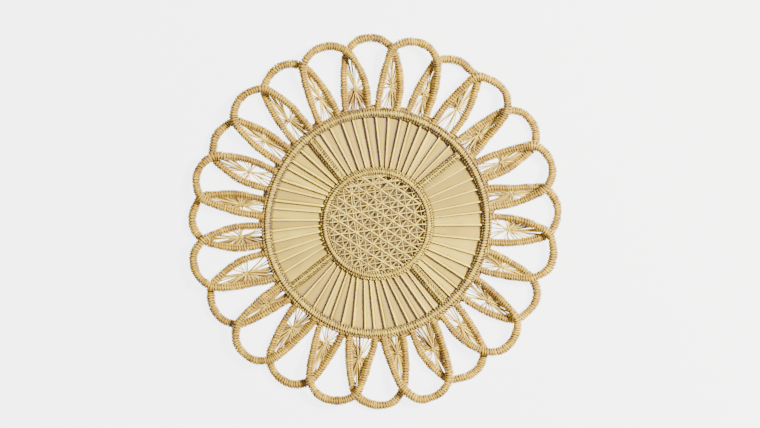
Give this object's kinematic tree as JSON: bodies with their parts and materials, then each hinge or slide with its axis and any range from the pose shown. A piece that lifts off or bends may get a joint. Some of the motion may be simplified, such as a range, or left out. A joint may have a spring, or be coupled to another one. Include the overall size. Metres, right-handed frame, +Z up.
{
  "type": "round woven placemat",
  "caption": "Flat round placemat of palm leaf and straw: laced centre, ribbed leaf ring and a scalloped edge of overlapping wrapped loops with open straw stars.",
  "frame": {"origin": "on the table, under the middle of the mat's outline", "axes": "+Z up, away from the table; +X to the right and +Y away, as the mat is seen from above"},
  "size_m": [0.379, 0.3806, 0.0105],
  "materials": {
    "wrapped_straw": "matt wrapped palm straw",
    "leaf": "dry palm leaf, low sheen",
    "straw": "thin split straw"
  },
  "bodies": {
    "root": {"centre_backing": "leaf", "centre_lattice": "straw", "hub_ring": "wrapped_straw", "leaf_panel_1": "leaf", "leaf_panel_2": "leaf", "leaf_panel_3": "leaf", "leaf_panel_4": "leaf", "loop_01": "wrapped_straw", "loop_02": "wrapped_straw", "loop_03": "wrapped_straw", "loop_04": "wrapped_straw", "loop_05": "wrapped_straw", "loop_06": "wrapped_straw", "loop_07": "wrapped_straw", "loop_08": "wrapped_straw", "loop_09": "wrapped_straw", "loop_10": "wrapped_straw", "loop_11": "wrapped_straw", "loop_12": "wrapped_straw", "loop_13": "wrapped_straw", "loop_14": "wrapped_straw", "loop_15": "wrapped_straw", "loop_16": "wrapped_straw", "loop_17": "wrapped_straw", "loop_18": "wrapped_straw", "loop_19": "wrapped_straw", "loop_20": "wrapped_straw", "loop_21": "wrapped_straw", "loop_22": "wrapped_straw", "loop_23": "wrapped_straw", "loop_24": "wrapped_straw", "rim_ring": "wrapped_straw", "spoke_1": "wrapped_straw", "spoke_2": "wrapped_straw", "spoke_3": "wrapped_straw", "spoke_4": "wrapped_straw", "star_01": "straw", "star_02": "straw", "star_03": "straw", "star_04": "straw", "star_05": "straw", "star_06": "straw", "star_07": "straw", "star_08": "straw", "star_09": "straw", "star_10": "straw", "star_11": "straw", "star_12": "straw", "star_13": "straw", "star_14": "straw", "star_15": "straw", "star_16": "straw", "star_17": "straw", "star_18": "straw", "star_19": "straw", "star_20": "straw", "star_21": "straw", "star_22": "straw", "star_23": "straw", "star_24": "straw"}
  },
  "joints": []
}
